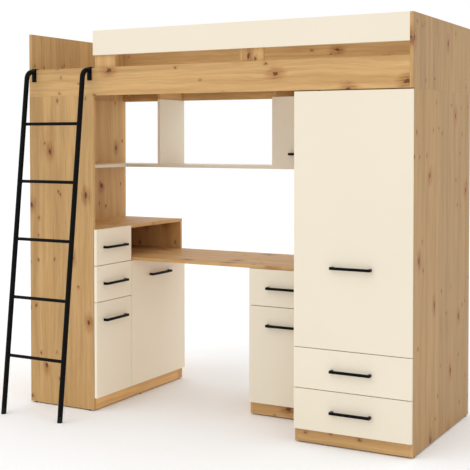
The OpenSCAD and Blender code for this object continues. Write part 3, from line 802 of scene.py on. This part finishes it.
# %% Ladder rungs
FLARE = 0.0020
FLARE_STEP = Vector((0.0035, 0, 0))
CRISP = 0.0001
source = merged_copy("ladder_rungs")
rung_boxes = [extent(group) for group in islands(source)]
source.free()
rungs = bmesh.new()
for low, high in rung_boxes:
    radius = (high.z - low.z) / 2
    left = Vector((low.x, (low.y + high.y) / 2, (low.z + high.z) / 2))
    right = Vector((high.x, left.y, left.z))
    turned(rungs, left, right, radius, CRISP)
    turned(rungs, left, left + FLARE_STEP, radius + FLARE, CRISP, radius)
    turned(rungs, right, right - FLARE_STEP, radius + FLARE, CRISP, radius)
hand_over(rungs, "ladder_rungs_tube", "ladder_rungs", smooth=True)
print("rungs:", len(rung_boxes))

# %% [markdown]
# ## Ladder: hook plates
# A hook plate is flat steel bent twice over the rail: its side view is an upside-down U with
# a long front leg, raised to the plate's width. The two outer corners at its top get the
# bend's radius before the other edges are eased.

# %% Hook plates
PLATE = 0.004
PLATE_BEND = 0.0035
PLATE_EASE = 0.0006
low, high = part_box("ladder_hooks")
source = merged_copy("ladder_hooks")
plate_sides = [(ends[0].x, ends[1].x) for ends in map(extent, islands(source))]
lip_z = min(v.co.z for v in source.verts if v.co.y > high.y - AT_EDGE)
source.free()
side_view = [
    (low.y, low.z), (low.y, high.z), (high.y, high.z), (high.y, lip_z),
    (high.y - PLATE, lip_z), (high.y - PLATE, high.z - PLATE),
    (low.y + PLATE, high.z - PLATE), (low.y + PLATE, low.z)]
hooks = bmesh.new()
for left, right in plate_sides:
    raise_outline(hooks, [(left, y, z) for y, z in side_view], (right - left, 0, 0))
bmesh.ops.recalc_face_normals(hooks, faces=hooks.faces)
across = [e for e in hooks.edges if abs(e.verts[0].co.x - e.verts[1].co.x) > AT_EDGE]
bends = [e for e in across if min(v.co.z for v in e.verts) > high.z - AT_EDGE]
round_over(hooks, bends, PLATE_BEND, 5)
round_over(hooks, sharp_edges(hooks), PLATE_EASE, 2)
hand_over(hooks, "ladder_hooks_plate", "ladder_hooks", smooth=True)
print("hook plates:", len(plate_sides))

# %% [markdown]
# ## Ladder: rubber feet
# Each stile ends in a rubber cap with two ring grooves, cut level with the floor. A cylinder
# longer than the cap stands along the lean. Cuts square to it mark the grooves, which are
# pressed in by an inset, and a level cut takes away all that is below the floor.

# %% Rubber feet
FOOT_LENGTH = 0.060
TUCK = 0.0005
GROOVES = (0.009, 0.017)
GROOVE_WIDTH = 0.002
GROOVE_EDGE = 0.0004
GROOVE_DEPTH = 0.0008
ON_PLANE = 1e-7
floor_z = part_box("ladder_feet")[0].z
foot_top = tube_start + up * TUCK


def all_of(bm):
    return bm.verts[:] + bm.edges[:] + bm.faces[:]


def below_top(face):
    return (foot_top - face.calc_center_median()).dot(up)


feet = bmesh.new()
for x in stile_xs:
    made = bmesh.ops.create_cone(
        feet, cap_ends=True, cap_tris=False, segments=TUBE_SIDES,
        radius1=TUBE_R, radius2=TUBE_R, depth=FOOT_LENGTH)["verts"]
    bmesh.ops.rotate(feet, cent=(0, 0, 0), matrix=LEANING, verts=made)
    middle = foot_top - up * (FOOT_LENGTH / 2) + Vector((x, 0, 0))
    bmesh.ops.translate(feet, vec=middle, verts=made)
for start in GROOVES:
    for below in (start, start + GROOVE_WIDTH):
        bmesh.ops.bisect_plane(
            feet, geom=all_of(feet), dist=ON_PLANE, plane_co=foot_top - up * below, plane_no=up)
for start in GROOVES:
    band = [f for f in feet.faces if start < below_top(f) < start + GROOVE_WIDTH]
    groove = [f for f in band if len(f.verts) == 4]
    bmesh.ops.inset_region(
        feet, faces=groove, thickness=GROOVE_EDGE, depth=-GROOVE_DEPTH, use_even_offset=True)
bmesh.ops.bisect_plane(
    feet, geom=all_of(feet), dist=ON_PLANE, plane_co=(0, 0, floor_z), plane_no=(0, 0, 1),
    clear_inner=True)
bmesh.ops.holes_fill(feet, edges=[e for e in feet.edges if e.is_boundary], sides=0)
bmesh.ops.recalc_face_normals(feet, faces=feet.faces)
hand_over(feet, "ladder_feet_rubber", "ladder_feet", smooth=True)
print("feet down to", floor_z)

# %% [markdown]
# ## Floor
# The floor is a wide sheet of pale paper, far larger than the piece, so that its edge never
# shows. It is all but white, with a very slight cloudiness, and it only has to catch soft
# shadows.

# %% Floor
FLOOR_REACH = 40.0
FLOOR_CELLS = 8
CLOUDS_PER_METRE = 2.0
PAPER = (0.970, 0.980, 0.990, 1.0)
PAPER_DEEPER = (0.955, 0.965, 0.975, 1.0)
floor = bmesh.new()
bmesh.ops.create_grid(floor, x_segments=FLOOR_CELLS, y_segments=FLOOR_CELLS, size=FLOOR_REACH)
floor_mesh = bpy.data.meshes.new("studio_floor")
floor.to_mesh(floor_mesh)
floor.free()
paint, tree, shader = new_material("pale_floor")
place = add(tree, "TexCoord", {}).outputs["Object"]
cloudy = spread(tree, noise(tree, place, CLOUDS_PER_METRE), 0.0, 0.4)
tree.links.new(blend(tree, cloudy, PAPER, PAPER_DEEPER), shader.inputs["Base Color"])
set_gloss(tree, shader, 0.9, 0.1)
floor_mesh.materials.append(paint)
studio_floor = bpy.data.objects.new("studio_floor", floor_mesh)
bpy.context.scene.collection.objects.link(studio_floor)
print("floor reaches", FLOOR_REACH, "m to each side")

# %% [markdown]
# ## Light
# Catalogue light is almost the same from all sides. Most of it comes from an even white
# surround, whose strength is a touch higher for the bed than for the camera, so that the
# background stays pure white and the fronts are not grey. One very wide and weak sun from the
# front and the left gives the floor a soft shadow and the shapes a direction.

# %% Light
SURROUND = 1.03
SURROUND_SEEN = 1.0
KEY_STRENGTH = 0.40
KEY_WIDTH = math.radians(50)
KEY_DIRECTION = Vector((0.30, 0.62, -0.72))
world = bpy.data.worlds.new("studio")
bpy.context.scene.world = world
world.use_nodes = True
tree = world.node_tree
sky = tree.nodes["Background"]
sky.inputs["Color"].default_value = (1.0, 1.0, 1.0, 1.0)
seen = add(tree, "LightPath", {}).outputs["Is Camera Ray"]
tree.links.new(ramp(tree, seen, 0.0, 1.0, SURROUND, SURROUND_SEEN), sky.inputs["Strength"])
sun = bpy.data.lights.new("wide_key", "SUN")
sun.energy = KEY_STRENGTH
sun.angle = KEY_WIDTH
key = bpy.data.objects.new("wide_key", sun)
key.rotation_euler = KEY_DIRECTION.to_track_quat("-Z", "Y").to_euler()
bpy.context.scene.collection.objects.link(key)
print("surround:", SURROUND, "key:", KEY_STRENGTH)

# %% [markdown]
# ## Camera
# A catalogue camera stands at head height and looks almost level, which keeps upright edges
# nearly parallel. The whole piece would then sit low in the frame, so the frame is shifted
# down, as a shift lens does. The picture is kept in plain colours, without a film look.

# %% Camera
SENSOR = 36.0
FOCAL = 1044.16
FRAME_SIDE = 470
CAMERA_PLACE = (2.4799, -4.4652, 1.3548)
LOOK_DOWN = 0.0296
LOOK_LEFT = 0.5033
lens = bpy.data.cameras.new("camera")
lens.sensor_width = SENSOR
lens.lens = SENSOR * FOCAL / FRAME_SIDE
lens.shift_x = -0.0013
lens.shift_y = -0.1383
lens.clip_end = 100.0
camera = bpy.data.objects.new("camera", lens)
camera.location = CAMERA_PLACE
camera.rotation_euler = (math.pi / 2 - LOOK_DOWN, 0.0, LOOK_LEFT)
bpy.context.scene.collection.objects.link(camera)
bpy.context.scene.camera = camera
bpy.context.scene.view_settings.view_transform = "Standard"
print("lens:", round(lens.lens, 1), "mm, at", CAMERA_PLACE)
